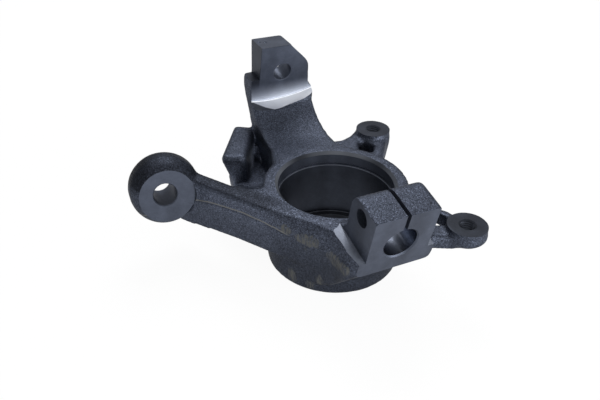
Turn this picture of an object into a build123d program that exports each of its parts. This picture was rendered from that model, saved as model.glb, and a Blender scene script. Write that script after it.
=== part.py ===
from build123d import *
from math import cos, radians, sin, tan
import os

# Front steering knuckle, as it stands on the bench on its bearing ring.
# +Z is the wheel axis and points inboard, +Y is up on the car, and +X runs along the car.
# The origin is the centre of the ring's outboard face. All sizes are in millimetres.

# Bearing ring
bore_radius = 36.0
ring_height = 54.6
ring_top_radius = 45.0
ring_foot_radius = 42.4
ring_foot_chamfer = 1.4
bore_lead_in = 2.0
bearing_width = 37.0
bearing_end_float = 0.7
snap_groove_width = 1.9
snap_groove_depth = 1.3
shoulder_height = 7.0
shoulder_radius = 31.5
shoulder_relief = 0.8

# The mould opens along Z at this height, and cast walls lean in away from it.
parting_height = ring_height - 11.6
wall_draft = 6.0
cast_round = 2.2

# How far cuts run on past the metal
cut_past = 5.0

# Kingpin axis, which the ball-joint clamp and the upper tab share
kingpin_x = 1.6
kingpin_tilt = 12.0
clamp_face_y = -71.2
clamp_axis_height = 57.7
tab_face_distance = 162.1

# Ball-joint pinch clamp
clamp_bore_radius = 10.2
clamp_bore_chamfer = 0.8
clamp_bore_depth = 36.5
clamp_depth = 24.5
clamp_rise = 21.5
clamp_chin = 19.7
clamp_crown_round = 7.0
clamp_half_width = 24.0
clamp_milled_half_width = 19.7
clamp_ledge_drop = 9.3
clamp_mill_reach = 9.0
clamp_corner_round = 5.0
clamp_heel_round = 6.0
clamp_slot_width = 2.4
pinch_hole_radius = 5.3
pinch_hole_depth = 13.0
pinch_hole_rise = 12.9
gusset_foot_height = 14.0
skirt_foot_height = 9.0
skirt_front = [(-28.0, -50.0), (-27.3, -63.0), (-23.0, -66.8), (0.0, -66.8)]
skirt_back = [(0.0, -8.0), (-38.0, -8.0)]
skirt_draft = 10.0

# Steering arm, a straight bar beside the ring, and its tie-rod boss
arm_heading = 123.7
arm_offset = 42.7
arm_width = 12.6
arm_start = -16.0
arm_end = 84.0
arm_foot_height = 22.5
arm_corner_round = 2.0
arm_heel_round = 8.2
arm_heel_at = (-47.0, 21.3)
arm_heel_root = [(-36.0, -4.0), (-38.5, 19.5)]
shoulder_out = 44.0
shoulder_turn = 5.5
flank_turn = 3.0
tie_hole_at = (-98.3, 35.0, 49.0)
tie_hole_radius = 7.25
tie_hole_chamfer = 0.5
tie_axis = Vector(0.052, 0.990, -0.130).normalized()
tie_boss_shift = Vector(1.0, -0.25, -1.5)
tie_face_radius = 17.2
tie_boss_radius = 21.3
tie_boss_length = 22.0

# Caliper ears, tapped along Z
ear_height = ring_height - 2.0
ear_face_radius = 11.6
ear_spot_depth = 4.2
ear_spot_margin = 0.8
ear_hole_radius = 4.3
ear_hole_chamfer = 0.5
ear_foot_chamfer = 3.0
far_ear_at = (57.8, 54.4)
far_ear_foot_height = 27.0
far_web_height = ring_height - 5.6
far_web_back = [(18.0, 58.0), (33.0, 55.5), (41.0, 58.5), (50.0, 65.0)]
far_web_front = [(68.5, 50.5), (42.8, 15.0), (30.0, 14.0), (18.0, 34.0)]
far_web_opening = [(37.5, 36.5), (44.2, 31.5), (51.0, 40.0), (46.5, 48.5), (41.5, 46.0)]
near_ear_at = (50.0, -66.2)
near_ear_foot_height = parting_height - 1.2
near_web_height = ring_height - 5.2
near_web_foot_height = parting_height - 2.5
near_web_front = [(20.0, -66.0), (28.5, -65.0), (39.5, -70.5), (51.0, -72.0)]
near_web_back = [(53.5, -54.0), (51.8, -46.5), (48.0, -41.5), (42.0, -20.0), (20.0, -20.0)]
near_web_opening = [(28.5, -57.5), (40.3, -61.5), (47.0, -52.0), (44.4, -46.8), (38.0, -33.0), (28.5, -38.0)]
web_round = 2.0

# Upper tab and the neck that carries it
tab_left = -15.1
tab_top_height = 111.9
tab_back = 103.0
tab_right = 20.9
tab_crown_right = 5.7
tab_shoulder_round = 12.0
tab_ledge_height = 87.9
tab_hole_radius = 6.35
tab_hole_chamfer = 0.4
tab_stock = 2.5
cutter_radius = 70.0
cutter_corner = 17.0
cutter_corner_turn = 28.0
cutter_reach = 22.0
cutter_depth = 30.0
neck_left = -20.5
neck_right = 22.8
neck_root_left = -22.5
neck_bend_start = 52.0
neck_bend_radius = 40.0
neck_bend_angle = 50.0
neck_heel_height = 75.0
neck_heel_out = 1.2
neck_belly = 3.8
neck_root_height = 16.0
shoulders_left = [(-34.5, 22.0), (-29.2, 34.0), (-27.5, 40.0), (-21.0, 58.0), (-21.0, 66.0)]
shoulders_right = [(24.0, 66.0), (24.0, 44.0), (32.0, 31.0), (0.0, 10.0)]
shoulders_foot_height = 24.0

# Stop lug beside the neck, and the low web behind the arm
lug_split_height = ring_height - 3.6
lug_foot_height = 31.0
lug_draft = 11.0
lug_corner_round = 3.0
well_floor_height = 33.0
bridge_top_height = ring_height - 4.6
lug_crown = [(-56.3, 55.0), (-41.0, 48.5), (-20.0, 86.0), (-32.5, 94.0)]
lug_foot = [(-48.5, 53.0), (-40.5, 49.5), (-21.0, 85.0), (-28.0, 89.0)]
well_floor_left = [(-34.0, 88.0), (-47.0, 68.0), (-49.0, 51.0), (-58.0, 26.0)]
well_floor_right = [(-38.0, 10.0), (-18.0, 30.0), (-18.0, 78.0)]
bridge_step = [(-33.0, 72.0), (-24.0, 80.0), (-14.0, 78.0), (-14.0, 92.0), (-30.0, 92.0)]
bridge_wall = [(-31.0, 86.0), (-14.0, 86.0), (-14.0, 94.0), (-31.0, 94.0)]

kingpin = Vector(0, cos(radians(kingpin_tilt)), sin(radians(kingpin_tilt)))
across_kingpin = Vector(0, -kingpin.Z, kingpin.Y)
clamp_origin = Vector(kingpin_x, clamp_face_y, clamp_axis_height)
tab_origin = clamp_origin + kingpin * tab_face_distance
clamp_side = Plane(origin=clamp_origin, x_dir=kingpin, z_dir=(1, 0, 0))
tab_front = Plane(origin=tab_origin, x_dir=(1, 0, 0), z_dir=-kingpin)
tie_boss_centre = Vector(*tie_hole_at) + tie_boss_shift
arm_inner = arm_offset - arm_width / 2
arm_outer = arm_offset + arm_width / 2


def polygon(points, corner_round=0.0):
    """A flat face with straight sides and, where asked, rounded corners."""
    turns = [start[0] * end[1] - end[0] * start[1] for start, end in zip(points, points[1:] + points[:1])]
    if sum(turns) < 0:
        points = points[::-1]
    face = make_face(Polyline(*points, close=True))
    if corner_round:
        face = fillet(face.vertices(), corner_round)
    return face


def cast_pad(face, low, high, split=parting_height, draft=wall_draft, rim_round=0.0):
    """A block pulled down and up from the parting plane, leaning in both ways."""
    middle = min(split, high)
    at_split = Plane.XY.offset(middle) * face
    pad = extrude(at_split, amount=middle - low, dir=(0, 0, -1), taper=draft)
    if high > middle:
        pad += extrude(at_split, amount=high - middle, dir=(0, 0, 1), taper=draft)
    if rim_round:
        pad = fillet(pad.faces().sort_by(Axis.Z)[-1].edges(), rim_round)
    return pad


def rod(origin, direction, radius, start, end):
    """A solid cylinder between two distances along a direction."""
    plane = Plane(origin=origin + direction * start, z_dir=direction)
    return extrude(plane * Circle(radius), amount=end - start)


def chamfered_hole(origin, direction, radius, length, chamfer_size):
    """A drill for a hole with a chamfered mouth at the origin."""
    lathe = Plane(origin=origin, x_dir=direction, z_dir=Plane(origin, z_dir=direction).x_dir)
    mouth_radius = radius + chamfer_size + 1
    profile = polygon([(-1, 0), (-1, mouth_radius), (chamfer_size, radius), (length, radius), (length, 0)])
    return revolve(lathe * profile, axis=Axis(origin, direction))


def bearing_ring():
    profile = polygon(
        [
            (0, 0),
            (ring_foot_radius - ring_foot_chamfer, 0),
            (ring_foot_radius, ring_foot_chamfer),
            (ring_top_radius, parting_height),
            (ring_top_radius, ring_height),
            (0, ring_height),
        ]
    )
    return revolve(Plane.XZ * profile, axis=Axis.Z)


def bearing_bore():
    """What boring takes out: bearing seat, snap-ring groove, lead-in and the shoulder below."""
    seat_top = shoulder_height + bearing_width + bearing_end_float
    groove_top = seat_top + snap_groove_width
    groove_radius = bore_radius + snap_groove_depth
    relief_radius = bore_radius + shoulder_relief
    relief_top = shoulder_height + 2 * shoulder_relief
    profile = polygon(
        [
            (0, -1),
            (shoulder_radius, -1),
            (shoulder_radius, shoulder_height),
            (relief_radius, shoulder_height),
            (relief_radius, relief_top),
            (bore_radius, relief_top + shoulder_relief),
            (bore_radius, seat_top),
            (groove_radius, seat_top),
            (groove_radius, groove_top),
            (bore_radius, groove_top),
            (bore_radius, ring_height - bore_lead_in),
            (bore_radius + bore_lead_in, ring_height),
            (bore_radius + bore_lead_in, ring_height + 1),
            (0, ring_height + 1),
        ]
    )
    return revolve(Plane.XZ * profile, axis=Axis.Z)


def arm_point(along, out):
    """A plan point given along the arm, and outwards from the wheel axis."""
    heading = radians(arm_heading)
    x = cos(heading) * along - sin(heading) * out
    y = sin(heading) * along + cos(heading) * out
    return (x, y)


def runout(profile, turn_angle):
    """A cut that turns the arm's outer face inwards where it runs out beside the ring."""
    turn = radians(turn_angle)
    beside_ring = Plane(
        origin=(*arm_point(arm_start, arm_outer), 0),
        x_dir=(*arm_point(-sin(turn), cos(turn)), 0),
        z_dir=(*arm_point(cos(turn), sin(turn)), 0),
    )
    return extrude(beside_ring * profile, amount=ring_top_radius)


def steering_arm():
    corners = [
        arm_point(arm_start, arm_inner),
        arm_point(arm_start, arm_outer),
        arm_point(arm_end, arm_outer),
        arm_point(arm_end, arm_inner),
    ]
    bar = cast_pad(polygon(corners, arm_corner_round), arm_foot_height, ring_height, rim_round=cast_round)
    shoulder_top = (shoulder_out - arm_outer, ring_height)
    flank_foot = (-(parting_height - arm_foot_height) * tan(radians(skirt_draft)), arm_foot_height)
    parting = [(0, parting_height), (arm_width, parting_height)]
    shoulder = polygon([shoulder_top, *parting, (arm_width, ring_height)])
    flank = polygon([flank_foot, *parting, (arm_width, arm_foot_height)])
    bar -= runout(shoulder, shoulder_turn)
    bar -= runout(flank, flank_turn)
    reach = 4 * arm_width
    inside = arm_inner + arm_width / 3
    beside_bar = [arm_point(reach, arm_inner), arm_point(reach, inside), arm_point(arm_width, inside)]
    heel = cast_pad(polygon(beside_bar + arm_heel_root), arm_foot_height, ring_height)
    heel -= rod(Vector(*arm_heel_at, 0), Vector(0, 0, 1), arm_heel_round, 0, ring_height + 1)
    return bar + heel


def tie_rod_boss():
    along = Plane(origin=tie_boss_centre, x_dir=tie_axis, z_dir=tie_axis.cross(Vector(0, 0, 1)))
    barrel = ThreePointArc(
        (0, tie_face_radius),
        (tie_boss_length / 2, tie_boss_radius),
        (tie_boss_length, tie_face_radius),
    )
    ends = Polyline((tie_boss_length, tie_face_radius), (tie_boss_length, 0), (0, 0), (0, tie_face_radius))
    return revolve(along * make_face([barrel, ends]), axis=Axis(tie_boss_centre, tie_axis))


def clamp_block():
    """The clamp with its milled flanks, drawn from the side and pulled across."""
    crown = clamp_depth - clamp_crown_round
    side = make_face(
        [
            Polyline((clamp_depth, 0), (clamp_depth, -clamp_chin), (0, -clamp_chin)),
            Polyline((0, -clamp_chin), (0, clamp_rise), (crown, clamp_rise)),
            JernArc((crown, clamp_rise), (1, 0), clamp_crown_round, -90),
            Line((clamp_depth, clamp_rise - clamp_crown_round), (clamp_depth, 0)),
        ]
    )
    block = extrude(clamp_side * side, amount=clamp_half_width, both=True)
    front = block.faces().sort_by(Axis((0, 0, 0), kingpin))[0]
    chin = front.edges().sort_by(Axis((0, 0, 0), across_kingpin))[0]
    low = chin.center().Z + clamp_depth / 2
    ends = [edge for edge in block.edges().filter_by(Axis((0, 0, 0), kingpin)) if edge.center().Z < low]
    return fillet(ends, clamp_corner_round)


def clamp_heel():
    """The rounded step from the clamp's back wall down to the ring."""
    step = -clamp_ledge_drop + 1
    top = step + clamp_heel_round
    low = step - clamp_heel_round
    back = clamp_depth + clamp_heel_round
    face = make_face(
        [
            JernArc((clamp_depth, top), (0, -1), clamp_heel_round, 90),
            Polyline((back, step), (back, low), (0, low), (0, top), (clamp_depth, top)),
        ]
    )
    return extrude(clamp_side * face, amount=clamp_milled_half_width, both=True)


def clamp_gusset():
    """The wedge that carries the clamp on the ring, and the skirt beside it."""
    chin = clamp_origin - across_kingpin * clamp_chin
    side = polygon(
        [
            (chin.Y, chin.Z),
            (-ring_top_radius + 1.5, gusset_foot_height),
            (-bore_radius, skirt_foot_height),
            (0, skirt_foot_height),
            (0, ring_height),
            (chin.Y + 2, ring_height),
        ]
    )
    wedge = extrude(Plane.YZ.offset(kingpin_x) * side, amount=clamp_half_width, both=True)
    flush = [arm_point(arm_width / 3, arm_outer), arm_point(arm_start - 1, arm_outer)]
    plan = polygon(flush + skirt_front + skirt_back)
    skirt = cast_pad(plan, skirt_foot_height, parting_height, draft=skirt_draft)
    skirt &= extrude(Plane.YZ * side, amount=-ring_top_radius)
    return wedge + skirt


def clamp_cuts():
    """What milling and drilling take out of the clamp."""
    back = clamp_depth + cut_past
    top = clamp_rise + cut_past
    step = -clamp_ledge_drop
    flank = polygon([(-cut_past, step), (2 * clamp_depth, step), (2 * clamp_depth, top), (-cut_past, top)])
    wall = clamp_milled_half_width
    left = extrude(clamp_side.offset(-wall) * flank, amount=-clamp_mill_reach)
    right = extrude(clamp_side.offset(wall) * flank, amount=clamp_mill_reach)
    bore = chamfered_hole(clamp_origin, kingpin, clamp_bore_radius, clamp_bore_depth, clamp_bore_chamfer)
    gap = polygon([(-1, 0), (back, 0), (back, top), (-1, top)])
    slot = extrude(clamp_side * gap, amount=clamp_slot_width / 2, both=True)
    pinch = clamp_origin + kingpin * pinch_hole_depth + across_kingpin * pinch_hole_rise
    reach = clamp_milled_half_width + cut_past
    bolt = rod(pinch, Vector(1, 0, 0), pinch_hole_radius, -reach, reach)
    return left + right + bore + slot + bolt


def ear(at, foot_height):
    """A round post with a spot-faced top."""
    waist = ear_height - ear_spot_depth
    cast_radius = ear_face_radius + ear_spot_margin
    draft = sin(radians(wall_draft))
    split = max(parting_height, foot_height + ear_foot_chamfer + ear_spot_margin)
    foot_radius = cast_radius - (split - foot_height) * draft
    post = polygon(
        [
            (0, foot_height),
            (foot_radius - ear_foot_chamfer, foot_height),
            (foot_radius, foot_height + ear_foot_chamfer),
            (cast_radius, split),
            (cast_radius, waist),
            (ear_face_radius, waist),
            (ear_face_radius, ear_height),
            (0, ear_height),
        ]
    )
    return Pos(*at, 0) * revolve(Plane.XZ * post, axis=Axis.Z)


def ear_drill(at, foot_height):
    """A drill that comes out through the ear's foot."""
    mouth = Vector(*at, ear_height)
    depth = ear_height - foot_height + 1
    return chamfered_hole(mouth, Vector(0, 0, -1), ear_hole_radius, depth, ear_hole_chamfer)


def far_ear_web():
    """The two webs behind the far ear, with the opening between them."""
    outer = polygon(far_web_back + far_web_front, web_round)
    web = cast_pad(outer, far_ear_foot_height, far_web_height, rim_round=web_round)
    return web - extrude(polygon(far_web_opening, web_round), amount=ring_height)


def near_ear_web():
    """The two webs behind the near ear, with the opening between them."""
    outer = polygon(near_web_front + near_web_back, web_round)
    web = cast_pad(outer, near_web_foot_height, near_web_height, rim_round=web_round)
    return web - extrude(polygon(near_web_opening, web_round), amount=ring_height)


def neck_side():
    """The neck and tab drawn from the side, with stock left on the tab's front."""
    bend = radians(neck_bend_angle)
    bend_end = (
        neck_bend_start + neck_bend_radius * sin(bend),
        ring_height + neck_bend_radius * (1 - cos(bend)),
    )
    stock_face = tab_origin - kingpin * tab_stock
    gap = (stock_face.Y - bend_end[0]) * kingpin.Y + (stock_face.Z - bend_end[1]) * kingpin.Z
    climb = gap / (cos(bend) * kingpin.Y + sin(bend) * kingpin.Z)
    chest = (bend_end[0] + climb * cos(bend), bend_end[1] + climb * sin(bend))
    top = tab_top_height + tab_stock
    brow = stock_face + across_kingpin * ((top - stock_face.Z) / across_kingpin.Z)
    heel = (tab_back - 1, neck_heel_height)
    root = (ring_foot_radius, neck_root_height)
    belly = ((heel[0] + root[0]) / 2 + neck_belly, (heel[1] + root[1]) / 2 - neck_belly)
    return make_face(
        [
            Line((bore_radius, ring_height), (neck_bend_start, ring_height)),
            JernArc((neck_bend_start, ring_height), (1, 0), neck_bend_radius, neck_bend_angle),
            Polyline(bend_end, chest, (brow.Y, brow.Z), (tab_back - 1, top), (tab_back, tab_ledge_height)),
            ThreePointArc(
                (tab_back, tab_ledge_height),
                (tab_back + neck_heel_out, (tab_ledge_height + neck_heel_height) / 2),
                heel,
            ),
            ThreePointArc(heel, belly, root),
            Polyline(root, (bore_radius, neck_root_height), (bore_radius, ring_height)),
        ]
    )


def tab_outline():
    """The neck and tab drawn from the front, with stock left above the tab."""
    top = tab_top_height + tab_stock
    crown = tab_crown_right - tab_stock
    face = polygon(
        [
            (neck_left, top),
            (crown, top),
            (tab_right, top - (tab_right - crown)),
            (neck_right, neck_heel_height),
            (neck_right, neck_root_height),
            (neck_root_left, neck_root_height),
        ]
    )
    shoulder = face.vertices().sort_by(Axis((0, 0, 0), (2, 1, 0)))[-1]
    return fillet(shoulder, tab_shoulder_round)


def neck():
    side = extrude(Plane.YZ * neck_side(), amount=2 * clamp_half_width, both=True)
    front = extrude(Plane.XZ * tab_outline(), amount=-2 * tab_back)
    return side & front


def neck_shoulders():
    """The flared root that joins the neck to the ring's top."""
    face = polygon(shoulders_left + shoulders_right)
    return cast_pad(face, shoulders_foot_height, ring_height, rim_round=cast_round)


def tab_cuts():
    """What milling and drilling take out of the tab."""
    sweep = cutter_radius - cutter_reach
    axis_point = tab_origin + across_kingpin * sweep
    plane = Plane(origin=axis_point, x_dir=-across_kingpin, z_dir=(-1, 0, 0))
    blend_turn = radians(cutter_corner_turn)
    flat = cutter_radius - cutter_corner * sin(blend_turn)
    blend = JernArc((flat, 0), (1, 0), cutter_corner, cutter_corner_turn)
    drop = cutter_corner * (1 - cos(blend_turn))
    side = [(cutter_radius, drop), (cutter_radius + 1, cutter_depth)]
    rest = Polyline(*side, (0, cutter_depth), (0, 0), (flat, 0))
    facing = revolve(plane * make_face([blend, rest]), axis=Axis(axis_point, kingpin))
    block = 2 * cutter_radius
    above = (Align.CENTER, Align.CENTER, Align.MIN)
    beside = (Align.MAX, Align.CENTER, Align.MIN)
    top = Pos(0, tab_back, tab_top_height) * Box(block, block, cutter_depth, align=above)
    notch = Pos(tab_left, tab_back, tab_ledge_height) * Box(cutter_reach, block, block, align=beside)
    hole = chamfered_hole(tab_origin, kingpin, tab_hole_radius, cutter_depth, tab_hole_chamfer)
    return facing + top + notch + hole


def stop_lug():
    """The lug, which narrows towards its foot, with the floor and bridge that tie it in."""
    crown = Plane.XY.offset(lug_split_height) * polygon(lug_crown, lug_corner_round)
    foot = Plane.XY.offset(lug_foot_height) * polygon(lug_foot, lug_corner_round)
    cap = extrude(crown, amount=ring_height - lug_split_height, taper=lug_draft)
    lug = loft([foot, crown]) + chamfer(cap.faces().sort_by(Axis.Z)[-1].edges(), cast_round / 2)
    well_floor = polygon(well_floor_left + well_floor_right, web_round)
    lug += cast_pad(well_floor, arm_foot_height, well_floor_height, rim_round=web_round)
    lug += cast_pad(polygon(bridge_step), arm_foot_height, parting_height)
    return lug + cast_pad(polygon(bridge_wall), lug_foot_height, bridge_top_height)


def knuckle():
    body = bearing_ring() + steering_arm() + tie_rod_boss()
    body += clamp_block() + clamp_heel() + clamp_gusset()
    body += near_ear_web() + ear(near_ear_at, near_ear_foot_height)
    body += far_ear_web() + ear(far_ear_at, far_ear_foot_height)
    body += neck() + neck_shoulders() + stop_lug()
    body -= bearing_bore()
    body -= clamp_cuts()
    body -= tab_cuts()
    mouth = Vector(*tie_hole_at)
    body -= chamfered_hole(mouth, tie_axis, tie_hole_radius, tie_boss_length + cut_past, tie_hole_chamfer)
    body -= ear_drill(near_ear_at, near_ear_foot_height)
    body -= ear_drill(far_ear_at, far_ear_foot_height)
    return body


os.makedirs("parts", exist_ok=True)
export_step(knuckle(), "parts/knuckle_casting.step")
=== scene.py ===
"""The look of a cast iron steering knuckle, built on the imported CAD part.

Places and sizes are in millimetres. finish_mesh writes them to Blender in metres.
"""

import math

import bmesh
import bpy
from mathutils import Matrix, Vector


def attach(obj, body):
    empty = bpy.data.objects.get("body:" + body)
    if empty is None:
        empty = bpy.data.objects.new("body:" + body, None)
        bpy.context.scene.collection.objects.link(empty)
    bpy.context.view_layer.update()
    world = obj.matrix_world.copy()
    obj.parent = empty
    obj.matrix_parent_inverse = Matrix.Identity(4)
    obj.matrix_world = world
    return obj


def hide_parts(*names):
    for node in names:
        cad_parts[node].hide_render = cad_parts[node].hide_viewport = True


bl_info = {
    "name": "Steering knuckle",
    "version": (1, 0, 0),
    "blender": (4, 5, 0),
    "location": "View3D > Sidebar > Knuckle",
    "description": "Builds the look of a cast iron steering knuckle on its CAD part",
    "category": "Object",
}

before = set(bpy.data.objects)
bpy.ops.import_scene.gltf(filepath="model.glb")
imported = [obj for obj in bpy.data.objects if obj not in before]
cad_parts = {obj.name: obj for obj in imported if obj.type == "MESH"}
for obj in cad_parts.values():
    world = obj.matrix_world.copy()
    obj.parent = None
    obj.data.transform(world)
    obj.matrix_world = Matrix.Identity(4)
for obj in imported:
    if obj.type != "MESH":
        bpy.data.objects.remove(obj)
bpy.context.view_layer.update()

NODE = "knuckle_casting"
MM = 0.001
UP = Vector((0, 0, 1))
RIGHT = Vector((1, 0, 0))
FORWARD = Vector((0, -1, 0))

KINGPIN_TILT = math.radians(12.0)
KINGPIN = Vector((0, math.cos(KINGPIN_TILT), math.sin(KINGPIN_TILT)))
ACROSS = Vector((0, -KINGPIN.z, KINGPIN.y))
CLAMP = Vector((1.6, -71.2, 57.7))
CLAMP_HALF = 19.7
CLAMP_FOOT = -19.7
CLAMP_BACK = 24.5
CLAMP_ROUND = 7.0
CLAMP_BORE = 10.2
LEDGE = -9.3
CHIN_HALF = 24.0
CHIN_ROUND = 5.0
PINCH_BOLT = CLAMP + KINGPIN * 13.0 + ACROSS * 12.9
PINCH_BORE = 5.3

TAB = CLAMP + KINGPIN * 162.1
TAB_LEFT = -15.1
TAB_STEP = 87.9
TAB_TOP = 111.9
TAB_BORE = 6.35
FACING_PIVOT = TAB + ACROSS * 73.25 + Vector((-7.6, 0, 0))
FACING_RADIUS = 93.0
LIP_RADIUS = 93.34
WALL_RADIUS = 95.6
PUNCHES = ((-12.6, 94.4), (-8.6, 92.9))

TIE = Vector((-98.3, 35.0, 49.0))
TIE_AXIS = Vector((0.052, 0.990, -0.130)).normalized()
TIE_CENTRE = TIE + Vector((1.0, -0.25, -1.5))
TIE_FACE = 17.2
TIE_BORE = 7.25
ARM_OUT = Vector((-0.832, -0.555, 0))
ARM_ALONG = Vector((-0.555, 0.832, 0))

EARS = (Vector((57.8, 54.4, 52.6)), Vector((50.0, -66.2, 52.6)))
EAR_FEET = (26.0, 9.0)
TAP_DEPTHS = (27, 14)
TAP_MINOR = 4.3
TAP_MAJOR = 5.0
TAP_STEP = 0.75

BORE = 36.0
OPENING = 31.5
STOCK_RADIUS = 39
STOCK_TOP = 54.4
THIN_CHAMFERS = (44.55, 46.7, 7.2, 6.75)

# Where flash was ground off: centre, radius and how far each axis is drawn in.
PATCHES = (
    ((-35.5, -33.5, 44.0), 4.4, (0.55, 0.55, 1.25)),
    ((-43.0, -23.4, 46.0), 2.6, (0.6, 0.6, 1.2)),
    ((-27.2, -52.0, 40.3), 4.6, (0.8, 0.6, 1.1)),
    ((-26.3, -60.0, 40.6), 3.6, (0.8, 0.7, 1.2)),
    ((-37.5, -33.0, 37.0), 1.8, (0.8, 0.8, 0.5)),
    ((-38.0, -19.6, 8.5), 2.6, (0.9, 0.9, 0.5)),
    ((-30.5, -29.8, 6.0), 2.8, (0.8, 0.8, 0.7)),
    ((-27.9, -37.4, 13.6), 2.2, (1.0, 1.0, 0.5)),
)
PATCH_GROWTH = 1.2
PATCH_EDGE = 1.2

# Places of the materials in the casting's list. The last three paint highlights with brighter colours on
# the cuts, the holes and the edge under the tab.
RAW, MACHINED, CUT_HIGHLIGHT, HOLE_HIGHLIGHT, EDGE_HIGHLIGHT = range(5)
HARD_EDGE = math.radians(34)
FLAT_GLANCE = (0.5, 0.5, 0.5, 1.0)
WHITE = (1.0, 1.0, 1.0, 1.0)
PAPER = (0.85, 0.85, 0.86, 1.0)

CAMERA_PLACE = Vector((-0.165885, -0.293201, 0.272181))
CAMERA_LOOK = Vector((0.357437, 0.741408, -0.567937))
CAMERA_ACROSS = Vector((0.907286, -0.419892, 0.022865))


class KnuckleSizes(bpy.types.PropertyGroup):
    """Sizes of the casting's skin."""

    grain: bpy.props.FloatProperty(
        name="Skin step",
        description="Edge length of the cast skin's mesh",
        default=0.0012,
        subtype="DISTANCE",
    )
    soften: bpy.props.IntProperty(
        name="Softening",
        description="How often the cast skin is relaxed, which rounds its edges",
        default=7,
        subtype="UNSIGNED",
    )
    shave: bpy.props.FloatProperty(
        name="Machining allowance",
        description="Stock that machining takes off",
        default=0.0016,
        subtype="DISTANCE",
    )


class KnuckleFinish(bpy.types.PropertyGroup):
    """Colours and finish of the iron, and the colours of its painted highlights."""

    cast: bpy.props.FloatVectorProperty(
        name="Cast iron",
        description="Colour of the raw cast skin",
        subtype="COLOR",
        default=(0.053, 0.0615, 0.085),
    )
    machined: bpy.props.FloatVectorProperty(
        name="Machined iron",
        description="Colour of the machined faces",
        subtype="COLOR",
        default=(0.068, 0.079, 0.108),
    )
    # Painted highlight: a brighter colour for the ledges, the thin chamfers, the band under the tab and the
    # holes' walls, in place of the light they reflect.
    cut_highlight: bpy.props.FloatVectorProperty(
        name="Painted highlight on cuts",
        description="Colour of the ledges, the thin chamfers and the holes' walls",
        subtype="COLOR",
        default=(0.17, 0.19, 0.24),
    )
    # Painted highlight: the colour mixed in where a shine is painted on the tab's run-out and on the bore's
    # top chamfer.
    painted_highlight: bpy.props.FloatVectorProperty(
        name="Gleam",
        description="Colour where the tab's cutter left a shine",
        subtype="COLOR",
        default=(0.36, 0.39, 0.45),
    )
    # Painted highlight: a near-white colour for the thin edge under the tab, and the highlight colour on
    # the band below it.
    edge: bpy.props.FloatVectorProperty(
        name="Edges",
        description="Colour of the thin edge under the tab and the band below it",
        subtype="COLOR",
        default=(0.8, 0.83, 0.9),
    )
    ground: bpy.props.FloatVectorProperty(
        name="Ground flash",
        description="Colour where flash was ground off",
        subtype="COLOR",
        default=(0.105, 0.108, 0.108),
    )
    flash: bpy.props.FloatVectorProperty(
        name="Flash line",
        description="Colour of the thin line of flash along the arm",
        subtype="COLOR",
        default=(0.17, 0.17, 0.165),
    )
    cast_rough: bpy.props.FloatProperty(
        name="Cast roughness",
        description="Roughness of the cast skin",
        default=0.5,
        subtype="FACTOR",
    )
    machined_rough: bpy.props.FloatProperty(
        name="Machined roughness",
        description="Roughness of the machined faces",
        default=0.42,
        subtype="FACTOR",
    )
    sand: bpy.props.FloatProperty(
        name="Sand grain",
        description="Depth of the sand grain in the skin",
        default=0.0003,
        subtype="DISTANCE",
    )


class KnuckleStage(bpy.types.PropertyGroup):
    """Camera and light."""

    lens: bpy.props.FloatProperty(
        name="Lens",
        description="Focal length for a 36 mm wide sensor",
        default=39.0,
        unit="CAMERA",
    )
    room: bpy.props.FloatProperty(
        name="Room",
        description="Strength of the white room's light",
        default=0.55,
        subtype="FACTOR",
    )
    front: bpy.props.FloatProperty(
        name="Front light",
        description="Power of the low front light in watts",
        default=5.0,
        unit="POWER",
    )
    top: bpy.props.FloatProperty(
        name="Top light",
        description="Power of the light above in watts",
        default=4.5,
        unit="POWER",
    )


def frame_matrix(origin, x_dir, z_dir):
    """A matrix whose local X and Z point along the given directions."""
    z = z_dir.normalized()
    x = (x_dir - z * x_dir.dot(z)).normalized()
    y = z.cross(x)
    matrix = Matrix((x, y, z)).transposed().to_4x4()
    matrix.translation = origin
    return matrix


CLAMP_SIDE = frame_matrix(CLAMP, KINGPIN, RIGHT)
FRONTAL = frame_matrix(Vector(), RIGHT, FORWARD)
LEVEL = frame_matrix(Vector(), RIGHT, UP)


def finish_mesh(bm, name):
    """Writes a closed bmesh in millimetres to a new object in metres."""
    bmesh.ops.recalc_face_normals(bm, faces=bm.faces)
    bmesh.ops.scale(bm, vec=(MM, MM, MM), verts=bm.verts)
    mesh = bpy.data.meshes.new(name)
    bm.to_mesh(mesh)
    bm.free()
    obj = bpy.data.objects.new(name, mesh)
    bpy.context.scene.collection.objects.link(obj)
    return obj


def add_prism(bm, points, matrix, low, high):
    """Adds a straight block over a flat outline, from low to high along the matrix's Z."""
    ends = []
    for height in (low, high):
        ends.append([bm.verts.new(matrix @ Vector((x, y, height))) for x, y in points])
    bm.faces.new(ends[0][::-1])
    bm.faces.new(ends[1])
    count = len(points)
    for i in range(count):
        j = (i + 1) % count
        bm.faces.new((ends[0][i], ends[0][j], ends[1][j], ends[1][i]))
    return ends


def add_lathe(bm, profile, origin, axis, steps=96):
    """Adds a turned body from (radius, distance along the axis) pairs. Its ends lie on the axis."""
    side = RIGHT if abs(axis.dot(RIGHT)) < 0.9 else UP
    matrix = frame_matrix(origin, side, axis)
    turn = [2 * math.pi * i / steps for i in range(steps)]
    rings = []
    for radius, height in profile:
        if radius == 0:
            points = [(0, 0)]
        else:
            points = [(radius * math.cos(t), radius * math.sin(t)) for t in turn]
        rings.append([bm.verts.new(matrix @ Vector((x, y, height))) for x, y in points])
    for below, above in zip(rings, rings[1:]):
        for i in range(steps):
            j = (i + 1) % steps
            corners = [
                below[i % len(below)],
                below[j % len(below)],
                above[j % len(above)],
                above[i % len(above)],
            ]
            bm.faces.new(list(dict.fromkeys(corners)))


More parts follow.
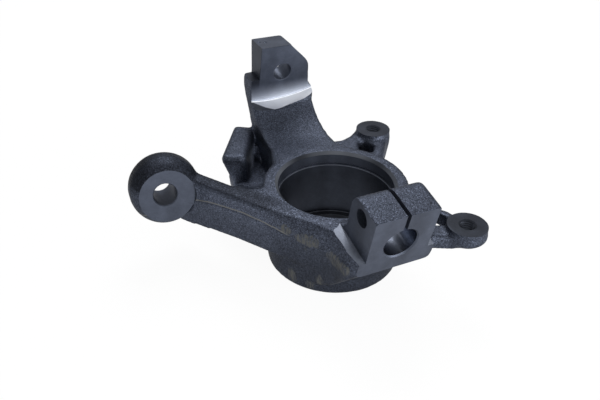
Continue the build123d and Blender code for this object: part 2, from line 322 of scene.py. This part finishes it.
def arc(centre, radius, start, end, steps=12):
    """Points along an arc, with angles in degrees."""
    turn = [math.radians(start + (end - start) * i / steps) for i in range(steps + 1)]
    return [(centre[0] + radius * math.cos(t), centre[1] + radius * math.sin(t)) for t in turn]


def drill(bm, origin, direction, radius, length, chamfer):
    """Adds the body of a drill whose mouth is chamfered at the origin."""
    mouth = radius + chamfer + 1
    profile = [(0, -1), (mouth, -1), (radius, chamfer), (radius, length), (0, length)]
    add_lathe(bm, profile, origin, direction)


def clamp_side(front, rise):
    """The clamp's outline seen from the side, as (along the kingpin, across it)."""
    corner = arc((CLAMP_BACK - CLAMP_ROUND, rise - CLAMP_ROUND), CLAMP_ROUND, 90, 0)
    return [(front, CLAMP_FOOT), (front, rise)] + corner + [(CLAMP_BACK, -8.0), (CLAMP_BACK, CLAMP_FOOT)]


def tab_outline(allowance):
    """The tab's outline from the front, as (x, z), with stock on its milled sides."""
    left = TAB_LEFT - allowance
    top = TAB_TOP + allowance
    step = TAB_STEP + allowance
    corner = arc((8.9, 91.7), 12.0, 0, 45)
    return (
        [(-20.5, 72.0), (22.6, 72.0)]
        + corner
        + [(5.7, TAB_TOP), (5.7, top), (left, top), (left, step), (-20.5, step)]
    )


def add_clamp_stock(bm, allowance):
    """Adds the clamp's metal and the chin below it."""
    add_prism(bm, clamp_side(-allowance, 21.5), CLAMP_SIDE, -19.6, 19.6)
    half = CLAMP_HALF + allowance
    add_prism(bm, clamp_side(0.5, 19.9), CLAMP_SIDE, -half, half)
    front = frame_matrix(CLAMP, RIGHT, -KINGPIN)
    shoulder = LEDGE + allowance
    corner = arc((CHIN_HALF - CHIN_ROUND, CLAMP_FOOT + CHIN_ROUND), CHIN_ROUND, 0, -90)
    mirrored = [(-x, w) for x, w in corner[::-1]]
    chin = [(CHIN_HALF, shoulder)] + corner + mirrored + [(-CHIN_HALF, shoulder)]
    add_prism(bm, chin, front, -3.0, allowance)
    root = [(-CHIN_HALF, -14), (CHIN_HALF, -14), (CHIN_HALF, shoulder), (-CHIN_HALF, shoulder)]
    add_prism(bm, root, front, -24.0, allowance)


def add_tab_stock(bm, allowance):
    """Adds the tab's metal, whose front end follows the tilted face."""
    ends = add_prism(bm, tab_outline(allowance), FRONTAL, -101.5, -70.0)
    for vert in ends[1]:
        vert.co.y = TAB.y - (vert.co.z - TAB.z) * math.tan(KINGPIN_TILT) - allowance


def add_stock(bm, allowance):
    """Adds the metal that machining later removes, and plugs every hole."""
    add_lathe(bm, [(0, 0.3), (STOCK_RADIUS, 0.3), (STOCK_RADIUS, STOCK_TOP), (0, STOCK_TOP)], Vector(), UP)
    add_clamp_stock(bm, allowance)
    add_tab_stock(bm, allowance)
    brim = TIE_FACE - 0.87 * allowance
    face = [(0, -allowance), (brim, -allowance), (TIE_FACE, 0), (TIE_FACE, 6), (0, 6)]
    add_lathe(bm, face, TIE_CENTRE, TIE_AXIS)
    add_lathe(bm, [(0, -1), (8.5, -1), (8.5, 21), (0, 21)], TIE, TIE_AXIS, 48)
    for ear, foot in zip(EARS, EAR_FEET):
        profile = [(0, -foot), (10.0, -foot), (11.6, -8), (12.0, allowance), (0, allowance)]
        add_lathe(bm, profile, ear, UP)


def add_cheek(bm):
    """Adds the raw metal left of the clamp, as wide outlines at its foot and its top."""
    foot = [(-34, -28), (-31.8, -39.3), (-28.8, -47.8), (-27.3, -55)]
    foot += [(-26.6, -62), (-24, -66), (-18, -66), (-18, -28)]
    top = [(-31, -28), (-29.4, -37), (-24.8, -43), (-23, -52)]
    top += [(-22.7, -60), (-22.3, -65.5), (-18, -66), (-18, -28)]
    ends = add_prism(bm, foot[::-1], LEVEL, 42.0, STOCK_TOP)
    for vert, (x, y) in zip(ends[1], top[::-1]):
        vert.co.x, vert.co.y = x, y


def add_skin_forms(bm):
    """Adds the soft forms that the cast skin flows over."""
    add_cheek(bm)
    chest = [(-22.1, -4), (22.4, -4), (22.4, 6.5), (15, 8), (-4, 8), (-14, 5.6), (-22.1, 2.8)]
    add_prism(bm, chest, frame_matrix(TAB, RIGHT, -ACROSS), 13.0, 26.0)
    boss = [(0, 2), (18.6, 2), (21.8, 8), (21.8, 16), (19.2, 22.5), (0, 22.5)]
    add_lathe(bm, boss, TIE_CENTRE + Vector((0.55, 0, 1.1)), TIE_AXIS)
    flare = [(45, 23.5), (70, 21.0), (84, 19.6), (92, 21.0), (95, 25), (95, 34), (45, 34)]
    arm = frame_matrix(Vector(), ARM_ALONG, ARM_OUT)
    add_prism(bm, [(x, -height) for x, height in flare], arm, 37.6, 47.6)
    gap = [(28, -59.0), (40.6, -62.8), (45, -58), (41.2, -59.0), (38.3, -56.2), (35.4, -54.4), (28, -50.5)]
    add_prism(bm, gap, LEVEL, 40.9, 49.2)


def clamp_front(bm):
    """Adds the cutter for the clamp's front face."""
    add_prism(bm, [(-8, -26), (0, -26), (0, 30), (-8, 30)], CLAMP_SIDE, -30, 30)


def clamp_flanks(bm):
    """Adds the cutters for the clamp's milled flanks, which leave the ledges."""
    flank = [(-10, LEDGE), (45, LEDGE), (45, 40), (-10, 40)]
    reach = CLAMP_HALF + 9
    add_prism(bm, flank, CLAMP_SIDE, -reach, -CLAMP_HALF)
    add_prism(bm, flank, CLAMP_SIDE, CLAMP_HALF, reach)


def clamp_bore(bm):
    """Adds the ball-joint bore."""
    drill(bm, CLAMP, KINGPIN, CLAMP_BORE, 36.5, 0.8)


def clamp_slot(bm):
    """Adds the saw slot that lets the clamp close."""
    add_prism(bm, [(-6, 0), (29.5, 0), (29.5, 40), (-6, 40)], CLAMP_SIDE, -1.2, 1.2)


def pinch_bolt_hole(bm):
    """Adds the hole of the pinch bolt."""
    add_lathe(bm, [(0, -30), (PINCH_BORE, -30), (PINCH_BORE, 30), (0, 30)], PINCH_BOLT, RIGHT)


def ring_bore(bm):
    """Adds the bearing bore with its opening, snap-ring groove and chamfers, from the bench up."""
    profile = [
        (0, -1),
        (OPENING, -1),
        (OPENING, 6.5),
        (32.0, 7),
        (35.6, 7),
        (BORE, 7.4),
        (BORE, 44.45),
        (36.25, 44.7),
        (37.3, 44.7),
        (37.3, 46.6),
        (36.25, 46.6),
        (BORE, 46.85),
        (BORE, 52.6),
        (38.0, 54.6),
        (38.0, 56),
        (0, 56),
    ]
    add_lathe(bm, profile, Vector(), UP, 192)


def tab_face(bm):
    """Adds the facing cutter that leaves the tab's face, its concave run-out and the wall below."""
    run_out = arc((81.17, -28.0), 28.0, 90, 65, 10)
    wall = [(93.35, -3.05), (95.2, -7.5), (95.5, -10), (95.5, -30), (0, -30)]
    add_lathe(bm, [(0, 0)] + run_out + wall, FACING_PIVOT, KINGPIN, 256)


def tab_top(bm):
    """Adds the cutter for the tab's top and its left side, down to the step."""
    corner = [(-40, TAB_STEP), (TAB_LEFT, TAB_STEP), (TAB_LEFT, TAB_TOP), (40, TAB_TOP)]
    add_prism(bm, corner + [(40, 130), (-40, 130)], FRONTAL, -130, -60)


def tab_hole(bm):
    """Adds the tab's bolt hole."""
    drill(bm, TAB, KINGPIN, TAB_BORE, 40, 0.4)


def tie_face(bm):
    """Adds the spot facer of the tie-rod boss."""
    reach = TIE_FACE + 0.4
    add_lathe(bm, [(0, -8), (reach, -8), (reach, 0), (0, 0)], TIE_CENTRE, TIE_AXIS)


def tie_hole(bm):
    """Adds the tie-rod hole."""
    drill(bm, TIE, TIE_AXIS, TIE_BORE, 28, 0.5)


def ear_faces(bm):
    """Adds the spot facers of the ears."""
    for ear in EARS:
        add_lathe(bm, [(0, 8), (17, 8), (17, 0), (0, 0)], ear, UP)


def ear_taps(bm):
    """Adds the taps of the ears, whose threads are rings."""
    for ear, depth in zip(EARS, TAP_DEPTHS):
        rings = range(int(depth / TAP_STEP))
        thread = [(TAP_MAJOR if i % 2 else TAP_MINOR, 0.7 + TAP_STEP * i) for i in rings]
        end = thread[-1][1] + 1
        add_lathe(bm, [(0, -1), (6.7, -1)] + thread + [(TAP_MINOR, end), (0, end)], ear, -UP, 48)


def punch_marks(bm):
    """Adds the two small punch marks in the tab's top."""
    for x, y in PUNCHES:
        add_lathe(bm, [(0, -0.9), (1.3, 0), (1.3, 1), (0, 1)], Vector((x, y, TAB_TOP)), UP, 24)


CUTTERS = (
    clamp_front,
    clamp_flanks,
    clamp_bore,
    clamp_slot,
    pinch_bolt_hole,
    ring_bore,
    tab_face,
    tab_top,
    tab_hole,
    tie_face,
    tie_hole,
    ear_faces,
    ear_taps,
    punch_marks,
)


def apply_modifier(obj, kind, **settings):
    """Adds a modifier, bakes it into the mesh and removes it."""
    modifier = obj.modifiers.new(kind.title(), kind)
    for key, value in settings.items():
        setattr(modifier, key, value)
    graph = bpy.context.evaluated_depsgraph_get()
    shaped = obj.evaluated_get(graph)
    baked = bpy.data.meshes.new_from_object(shaped, preserve_all_data_layers=True, depsgraph=graph)
    obj.modifiers.clear()
    obj.data = baked


def mark_sharp(mesh, angle):
    """Smooth shading, with a hard edge where faces meet at more than the angle."""
    bm = bmesh.new()
    bm.from_mesh(mesh)
    for face in bm.faces:
        face.smooth = True
    for edge in bm.edges:
        edge.smooth = not (edge.is_manifold and edge.calc_face_angle(0) > angle)
    bm.to_mesh(mesh)
    bm.free()


def cut_kind(place, normal):
    """Which material a machined face gets, from its centre and its normal."""
    from_clamp = place - CLAMP
    depth = from_clamp.dot(KINGPIN)
    radius = place.xy.length
    clamp_wall = (from_clamp - KINGPIN * depth).length < CLAMP_BORE + 0.4
    hole = radius > 40 and 1.0 < depth < 37 and clamp_wall
    tap = min((place.xy - ear.xy).length for ear in EARS) < TAP_MAJOR + 0.3 and place.z < 52
    # The walls of the holes and the taps get a brighter colour as a painted highlight.
    if hole or tap:
        return HOLE_HIGHLIGHT
    # The punch marks get the darker raw-skin material as painted shade in their dimples.
    punch = 111.0 < place.z < 111.85 and normal.z > 0.2
    if punch:
        return RAW
    from_pivot = place - FACING_PIVOT
    ahead = from_pivot.dot(KINGPIN)
    sweep = (from_pivot - KINGPIN * ahead).length
    milled = place.z > 60 and abs(place.x) < 26 and ahead < -2.6
    # The thin lip under the tab's run-out gets a near-white colour as a painted highlight.
    if milled and FACING_RADIUS < sweep < LIP_RADIUS:
        return EDGE_HIGHLIGHT
    # The clamp's ledges, the bore's thin chamfers and the wall under the tab get a brighter colour as a
    # painted highlight.
    ledge = normal.dot(ACROSS) > 0.95 and abs(from_clamp.dot(ACROSS) - LEDGE) < 0.1
    thin = min(abs(place.z - z) for z in THIN_CHAMFERS) < 0.27
    ring = thin and abs(normal.z) > 0.3 and OPENING - 0.1 < radius < BORE + 1
    wall = milled and LIP_RADIUS < sweep < WALL_RADIUS
    return CUT_HIGHLIGHT if ledge or ring or wall else MACHINED


def paint_cuts(mesh):
    """Gives each kind of cut its own material, which paints highlights on the ledges, chamfers, band, edge
    and holes and shade in the punch marks.
    """
    for face in mesh.polygons:
        if face.material_index != RAW:
            face.material_index = cut_kind(face.center / MM, face.normal)


class Graph:
    """Short calls that build a material's nodes."""

    def __init__(self, tree):
        tree.nodes.clear()
        self.tree = tree

    def add(self, kind, **inputs):
        node = self.tree.nodes.new(kind)
        for key, value in inputs.items():
            self.feed(node.inputs[key.replace("_", " ")], value)
        return node

    def feed(self, socket, value):
        if isinstance(value, bpy.types.NodeSocket):
            self.tree.links.new(value, socket)
        else:
            socket.default_value = value

    def math(self, operation, first, second=0.0):
        node = self.tree.nodes.new("ShaderNodeMath")
        node.operation = operation
        self.feed(node.inputs[0], first)
        self.feed(node.inputs[1], second)
        return node.outputs[0]

    def times(self, first, *factors):
        """Multiplies any number of values."""
        for factor in factors:
            first = self.math("MULTIPLY", first, factor)
        return first

    def fade(self, value, low, high, start=0.0, end=1.0):
        """Maps low to high onto start to end, and holds the ends."""
        node = self.add(
            "ShaderNodeMapRange", Value=value, From_Min=low, From_Max=high, To_Min=start, To_Max=end
        )
        return node.outputs["Result"]

    def scaled(self, mask, factor):
        """One where the mask is zero, and the factor where it is one."""
        return self.fade(mask, 0.0, 1.0, 1.0, factor)

    def band(self, value, inner, outer):
        """One where the value is near zero, fading from inner to outer on both sides."""
        return self.fade(self.math("ABSOLUTE", value), inner, outer, 1.0, 0.0)

    def noise(self, place, scale, detail=2.0, roughness=0.5):
        node = self.add(
            "ShaderNodeTexNoise", Vector=place, Scale=scale, Detail=detail, Roughness=roughness
        )
        return node.outputs[0]

    def stretched(self, place, scale):
        """Places drawn out along Z, where the scale is under one, or pressed together."""
        return self.add("ShaderNodeMapping", Vector=place, Scale=(1.0, 1.0, scale)).outputs["Vector"]

    def vector(self, operation, first, second=(0.0, 0.0, 0.0)):
        node = self.tree.nodes.new("ShaderNodeVectorMath")
        node.operation = operation
        self.feed(node.inputs[0], first)
        self.feed(node.inputs[1], second)
        return node.outputs["Value"]

    def along(self, place, direction):
        """How far a place lies along a direction, in millimetres."""
        return self.vector("DOT_PRODUCT", place, tuple(part / MM for part in direction))

    def mix(self, factor, first, second, blend="MIX"):
        node = self.tree.nodes.new("ShaderNodeMix")
        node.data_type = "RGBA"
        node.blend_type = blend
        self.feed(node.inputs[0], factor)
        self.feed(node.inputs[6], first)
        self.feed(node.inputs[7], second)
        return node.outputs[2]

    def finish(self, shader, kind="ShaderNodeOutputMaterial"):
        out = self.add(kind)
        self.tree.links.new(shader, out.inputs["Surface"])


def new_graph(name):
    """A new material and the graph that builds it."""
    material = bpy.data.materials.new(name)
    material.use_nodes = True
    return material, Graph(material.node_tree)


def opaque(colour):
    """The colour with full alpha."""
    return (*colour, 1.0)


def ground_patch(graph, place, centre, radius, wear, stretch):
    """A patch with a ragged edge, as left by a grinding wheel."""
    shift = tuple(-c * s * MM for c, s in zip(centre, stretch))
    offset = graph.add("ShaderNodeMapping", Vector=place, Location=shift, Scale=stretch)
    distance = graph.vector("LENGTH", offset.outputs["Vector"])
    reach = graph.math("ADD", distance, wear)
    return graph.fade(reach, radius * MM, (radius - PATCH_EDGE) * MM)


def ground_mask(graph, place):
    """Where flash was ground off, with upright scratches."""
    streaks = graph.stretched(place, 0.15)
    ragged = graph.noise(streaks, 260.0, 3.0, 0.7)
    wear = graph.fade(ragged, 0.3, 0.7, -1.6 * MM, 1.6 * MM)
    ground = 0.0
    for centre, radius, stretch in PATCHES:
        patch = ground_patch(graph, place, centre, PATCH_GROWTH * radius, wear, stretch)
        ground = graph.math("MAXIMUM", ground, patch)
    return graph.times(ground, graph.fade(graph.noise(streaks, 750.0, 1.0), 0.42, 0.55, 0.3, 1.0))


def flash_line(graph, place, height, out, along):
    """The bowed line of flash along the arm's outside, and the shadow under it."""
    wobble = graph.fade(graph.noise(place, 90.0, 2.0), 0.3, 0.7, -0.35, 0.35)
    middle = graph.math("SUBTRACT", along, 36.0)
    bow = graph.times(middle, middle, 0.0028)
    above = graph.math("SUBTRACT", graph.math("ADD", height, bow), 45.9)
    above = graph.math("ADD", above, wobble)
    on_arm = graph.times(graph.fade(out, 46.0, 47.5), graph.fade(along, 2.0, 8.0))
    line = graph.times(on_arm, graph.band(above, 0.25, 0.55))
    below = graph.times(on_arm, graph.band(graph.math("ADD", above, 1.0), 0.2, 0.8))
    return line, below


def skin_light_and_shade(graph, place, height, out, along):
    """Painted light and shade on the raw skin by place: darker towards the bottom, on the arm's top, on the
    boss's left and low on the left, lighter in the well beside the lug and on the arm's outer side.
    """
    right = graph.along(place, RIGHT)
    north = graph.along(place, (0, 1, 0))
    left = graph.along(place, (-1, 0, 0.25))
    on_arm = graph.fade(along, 5.0, 25.0)
    # Painted shade on the arm's top.
    arm_top_shade = graph.times(graph.fade(height, 53.2, 54.2), on_arm, graph.fade(out, 34.0, 38.0))
    # Painted shade low on the left.
    under = graph.times(graph.fade(right, -30.0, -15.0), graph.fade(height, 40.0, 30.0))
    west = graph.times(graph.fade(right, -16.0, -20.0), graph.fade(right, -52.0, -48.0))
    # Painted light in the well beside the lug.
    well_light = graph.times(west, graph.fade(north, 44.0, 48.0), graph.fade(height, 52.0, 48.0))
    # Painted light on the arm's outer side.
    arm_side_light = graph.times(graph.fade(out, 43.0, 47.0), graph.fade(along, 5.0, 20.0))
    arm_side_light = graph.times(arm_side_light, graph.fade(height, 52.5, 51.5))
    # Painted shade towards the bottom, on the arm's top, on the boss's left and low on the left; painted
    # light in the well and on the arm's outer side.
    return graph.times(
        graph.fade(height, 22.0, 44.0, 0.75, 1.0),
        graph.scaled(arm_top_shade, 0.48),
        graph.fade(left, 120.0, 125.0, 1.0, 0.6),
        graph.scaled(under, 0.85),
        graph.scaled(well_light, 2.0),
        graph.scaled(arm_side_light, 1.4),
    )


def cast_material(finish):
    """Sand-cast skin: dark and grainy, with the flash line, the ground patches, painted glints on the grain
    and painted light and shade by place.
    """
    material, graph = new_graph("cast_iron_raw")
    place = graph.add("ShaderNodeTexCoord").outputs["Object"]
    height = graph.along(place, UP)
    out = graph.along(place, ARM_OUT)
    along = graph.along(place, ARM_ALONG)
    sand = graph.noise(place, 1400.0, 2.0, 0.6)
    grit = graph.noise(place, 800.0, 1.0)
    speck = graph.noise(place, 2100.0, 0.0)
    cloud = graph.fade(graph.noise(place, 120.0, 3.0), 0.3, 0.7, 0.88, 1.12)
    tone = graph.times(cloud, graph.fade(sand, 0.32, 0.68, 0.5, 1.5))
    # Painted highlight: bright specks on the grain, stronger higher up, in place of the lamps' glints.
    painted_glint = graph.times(graph.fade(speck, 0.64, 0.74), graph.fade(height, 30.0, 50.0, 0.2, 1.3))
    tone = graph.math("ADD", tone, painted_glint)
    line, below = flash_line(graph, place, height, out, along)
    tone = graph.times(
        tone,
        # Painted light and shade by place, and the painted shadow under the flash line.
        skin_light_and_shade(graph, place, height, out, along),
        graph.scaled(below, 0.7),
        graph.fade(grit, 0.35, 0.65, 0.78, 1.22),
    )
    colour = graph.mix(1.0, opaque(finish.cast), tone, "MULTIPLY")
    colour = graph.mix(ground_mask(graph, place), colour, opaque(finish.ground))
    colour = graph.mix(graph.times(line, 0.9), colour, opaque(finish.flash))
    bump = graph.add("ShaderNodeBump", Height=sand, Strength=1.0, Distance=finish.sand)
    skin = graph.add(
        "ShaderNodeBsdfPrincipled",
        Base_Color=colour,
        Metallic=0.85,
        Specular_Tint=FLAT_GLANCE,
        Roughness=graph.fade(speck, 0.4, 0.7, finish.cast_rough, finish.cast_rough - 0.15),
        Normal=bump.outputs["Normal"],
    )
    graph.finish(skin.outputs[0])
    return material


def run_out_masks(graph, place, right):
    """Where a highlight is painted on the tab's run-out, and where raw skin shows below its wall."""
    ahead = graph.along(place, KINGPIN)
    drop = graph.along(place, ACROSS)
    low = graph.fade(drop, TAB.dot(ACROSS) - 7.0, TAB.dot(ACROSS) - 18.0)
    near = graph.fade(ahead, TAB.dot(KINGPIN) - 14.0, TAB.dot(KINGPIN) - 12.0)
    blend = graph.times(graph.math("POWER", low, 1.5), near)
    depth = graph.math("SUBTRACT", ahead, TAB.dot(KINGPIN))
    skin_edge = graph.fade(right, -20.0, -6.0, -3.2, -11.0)
    cut = graph.fade(graph.math("SUBTRACT", depth, skin_edge), -0.3, 0.3)
    # Painted highlight, fainter towards the left.
    painted_sheen = graph.times(blend, graph.fade(right, -24.0, 4.0, 0.25, 0.9), cut)
    raw = graph.times(blend, graph.math("SUBTRACT", 1.0, cut))
    return painted_sheen, raw


def bore_mask(graph, right, back, high):
    """One inside the ring's bore, up to its top chamfer."""
    square = graph.math("ADD", graph.times(right, right), graph.times(back, back))
    reach = graph.math("SQRT", square)
    return graph.times(graph.fade(reach, 40.6, 40.0), graph.fade(high, 55.0, 54.7))


def bore_shading(graph, bored, high):
    """Painted shade in the bore: its shoulder, its top chamfer and its wall below the groove are darker
    than its land above the groove.
    """
    shade_by_height = graph.times(
        graph.fade(high, 7.05, 7.3, 0.25, 0.62),
        graph.fade(high, 52.4, 52.6, 1.0, 0.25),
        graph.fade(high, 44.0, 45.0, 1.0, 1.6),
    )
    change = graph.times(bored, graph.math("SUBTRACT", shade_by_height, 1.0))
    return graph.math("ADD", 1.0, change)


def machined_material(name, colour, painted_highlight, rough, metal):
    """Cut metal with fine tool marks and a slight mottle, with painted highlights on the tab's run-out and
    the bore's top chamfer, painted upright reflection streaks and painted light and shade by place.
    """
    material, graph = new_graph(name)
    place = graph.add("ShaderNodeTexCoord").outputs["Object"]
    right = graph.along(place, RIGHT)
    back = graph.along(place, (0, 1, 0))
    high = graph.along(place, UP)
    marks = graph.noise(graph.stretched(place, 6.0), 700.0, 1.0)
    upright = graph.stretched(place, 0.02)
    painted_sheen, raw = run_out_masks(graph, place, right)
    bored = bore_mask(graph, right, back, high)
    # Painted shade on the tab's left side.
    west = graph.times(graph.fade(high, 80.0, 86.0), graph.fade(right, -14.7, -15.0))
    tone = graph.times(
        graph.fade(graph.noise(place, 160.0, 4.0, 0.6), 0.3, 0.7, 0.86, 1.14),
        graph.fade(marks, 0.3, 0.7, 0.93, 1.07),
        # Painted shade on the ears, right of the bore.
        graph.fade(right, 36.0, 40.0, 1.0, 0.38),
        # Painted shade in the bore.
        bore_shading(graph, bored, high),
        # Painted light: the tab is lighter towards its top.
        graph.fade(high, 80.0, 106.0, 1.0, 1.5),
        # Painted shade on the tab's top face.
        graph.fade(high, 111.5, 111.8, 1.0, 0.55),
        graph.scaled(west, 0.4),
        # Painted highlight on the tab's run-out.
        graph.scaled(painted_sheen, 2.6),
        graph.scaled(raw, 0.3),
        # Painted reflections: soft upright streaks.
        graph.fade(graph.noise(upright, 70.0, 1.0), 0.3, 0.7, 0.8, 1.2),
    )
    bump = graph.add("ShaderNodeBump", Height=marks, Strength=1.0, Distance=0.00002)
    skin = graph.mix(1.0, opaque(colour), tone, "MULTIPLY")
    # Painted highlight: upright streaks of shine on the bore's top chamfer, mixed in with the tab's painted
    # highlight.
    streaks = graph.fade(graph.noise(upright, 30.0, 1.0), 0.4, 0.62, 0.0, 0.35)
    chamfer = graph.times(bored, graph.fade(high, 52.5, 52.7), streaks)
    metal_skin = graph.add(
        "ShaderNodeBsdfPrincipled",
        Base_Color=graph.mix(graph.math("MAXIMUM", painted_sheen, chamfer), skin, opaque(painted_highlight)),
        Metallic=metal,
        Specular_Tint=FLAT_GLANCE,
        Roughness=rough,
        Normal=bump.outputs["Normal"],
    )
    graph.finish(metal_skin.outputs[0])
    return material


def iron_materials(finish):
    """The materials, in the order of the indexes RAW to EDGE_HIGHLIGHT."""
    rough = finish.machined_rough
    return (
        cast_material(finish),
        machined_material("cast_iron_machined", finish.machined, finish.painted_highlight, rough, 0.65),
        # These three paint highlights: their colours are brighter to stand in for reflected light.
        machined_material("cast_iron_cut_highlight", finish.cut_highlight, finish.edge, rough, 0.4),
        machined_material("cast_iron_hole_highlight", finish.cut_highlight, finish.painted_highlight, 0.3, 1.0),
        machined_material("cast_iron_edge_highlight", finish.edge, finish.edge, rough, 0.2),
    )


class BuildCasting(bpy.types.Operator):
    """Builds the cast skin with its machined faces"""

    bl_idname = "knuckle.build_casting"
    bl_label = "Build casting"

    def execute(self, context):
        sizes = context.scene.knuckle_sizes
        materials = iron_materials(context.scene.knuckle_finish)
        bm = bmesh.new()
        bm.from_mesh(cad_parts[NODE].data)
        bmesh.ops.remove_doubles(bm, verts=bm.verts, dist=1e-6)
        bmesh.ops.scale(bm, vec=(1 / MM, 1 / MM, 1 / MM), verts=bm.verts)
        add_stock(bm, sizes.shave / MM)
        add_skin_forms(bm)
        body = finish_mesh(bm, "knuckle_body")
        apply_modifier(body, "REMESH", mode="VOXEL", voxel_size=sizes.grain, adaptivity=0.0)
        apply_modifier(body, "SMOOTH", factor=0.5, iterations=sizes.soften)
        body.data.materials.clear()
        for material in materials:
            body.data.materials.append(material)
        for build in CUTTERS:
            bm = bmesh.new()
            build(bm)
            cutter = finish_mesh(bm, "cutter")
            cutter.data.materials.append(materials[MACHINED])
            apply_modifier(
                body,
                "BOOLEAN",
                operation="DIFFERENCE",
                object=cutter,
                solver="EXACT",
                material_mode="TRANSFER",
            )
            bpy.data.objects.remove(cutter)
        if not body.data.polygons:
            raise RuntimeError("The casting has no faces left after the cuts")
        paint_cuts(body.data)
        mark_sharp(body.data, HARD_EDGE)
        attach(body, "root")
        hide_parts(NODE)
        return {"FINISHED"}


def floor_material():
    """White paper that keeps the shadow and shows white to the camera and in reflections."""
    material, graph = new_graph("floor")
    rays = graph.add("ShaderNodeLightPath")
    mirrored = graph.math("MAXIMUM", rays.outputs["Is Glossy Ray"], rays.outputs["Is Transmission Ray"])
    shown = graph.math("MAXIMUM", rays.outputs["Is Camera Ray"], graph.times(mirrored, 0.65))
    paper = graph.add("ShaderNodeBsdfDiffuse", Color=PAPER)
    white = graph.add("ShaderNodeEmission", Color=WHITE, Strength=1.02)
    mix = graph.add("ShaderNodeMixShader", Fac=graph.times(shown, 0.92))
    graph.feed(mix.inputs[1], paper.outputs[0])
    graph.feed(mix.inputs[2], white.outputs[0])
    graph.finish(mix.outputs[0])
    return material


def build_floor(scene):
    """Adds the floor that the knuckle stands on."""
    bm = bmesh.new()
    bmesh.ops.create_grid(bm, x_segments=1, y_segments=1, size=4.0)
    mesh = bpy.data.meshes.new("floor")
    bm.to_mesh(mesh)
    bm.free()
    floor = bpy.data.objects.new("floor", mesh)
    scene.collection.objects.link(floor)
    floor.data.materials.append(floor_material())


def build_light(scene, name, power, size, place, aim):
    """Adds a rectangular light of a size in metres, turned to the place it aims at."""
    data = bpy.data.lights.new(name, "AREA")
    data.shape = "RECTANGLE"
    data.energy = power
    data.size, data.size_y = size
    lamp = bpy.data.objects.new(name, data)
    lamp.location = place
    lamp.rotation_euler = (Vector(aim) - Vector(place)).to_track_quat("-Z", "Y").to_euler()
    scene.collection.objects.link(lamp)


def build_world(scene, strength):
    """A room that is white to the camera and lights the object at the given strength."""
    world = bpy.data.worlds.new("studio")
    world.use_nodes = True
    graph = Graph(world.node_tree)
    seen = graph.add("ShaderNodeLightPath").outputs["Is Camera Ray"]
    sky = graph.add("ShaderNodeBackground", Color=WHITE, Strength=graph.fade(seen, 0.0, 1.0, strength, 1.0))
    graph.finish(sky.outputs[0], "ShaderNodeOutputWorld")
    scene.world = world


def build_camera(scene, lens):
    """Adds the camera at the photo's viewing angle."""
    data = bpy.data.cameras.new("camera")
    data.lens = lens
    data.sensor_width = 36.0
    data.clip_start = 0.01
    camera = bpy.data.objects.new("camera", data)
    camera.matrix_world = frame_matrix(CAMERA_PLACE, CAMERA_ACROSS, -CAMERA_LOOK)
    scene.collection.objects.link(camera)
    scene.camera = camera


class BuildStage(bpy.types.Operator):
    """Builds the floor, the lights and the camera"""

    bl_idname = "knuckle.build_stage"
    bl_label = "Build stage"

    def execute(self, context):
        scene = context.scene
        settings = scene.knuckle_stage
        build_floor(scene)
        build_light(scene, "front", settings.front, (0.8, 0.3), (0.32, -0.66, 0.18), (0.0, 0.09, 0.08))
        build_light(scene, "top", settings.top, (0.5, 0.5), (0.22, 0.5, 0.87), (0.0, 0.0, 0.05))
        build_world(scene, settings.room)
        build_camera(scene, settings.lens)
        scene.view_settings.view_transform = "Standard"
        return {"FINISHED"}


class KnucklePanel(bpy.types.Panel):
    """Lists the knuckle's pieces and settings"""

    bl_idname = "VIEW3D_PT_knuckle"
    bl_label = "Steering knuckle"
    bl_space_type = "VIEW_3D"
    bl_region_type = "UI"
    bl_category = "Knuckle"

    def draw(self, context):
        for group in GROUPS:
            settings = getattr(context.scene, group)
            for name in settings.__annotations__:
                self.layout.prop(settings, name)
        for operator in (BuildCasting, BuildStage):
            self.layout.operator(operator.bl_idname)


GROUPS = {"knuckle_sizes": KnuckleSizes, "knuckle_finish": KnuckleFinish, "knuckle_stage": KnuckleStage}
CLASSES = (*GROUPS.values(), BuildCasting, BuildStage, KnucklePanel)


def register():
    for cls in CLASSES:
        bpy.utils.register_class(cls)
    for name, group in GROUPS.items():
        setattr(bpy.types.Scene, name, bpy.props.PointerProperty(type=group))


def unregister():
    for name in GROUPS:
        delattr(bpy.types.Scene, name)
    for cls in reversed(CLASSES):
        bpy.utils.unregister_class(cls)


def main():
    register()
    bpy.ops.knuckle.build_casting()
    bpy.ops.knuckle.build_stage()


if __name__ == "__main__":
    main()
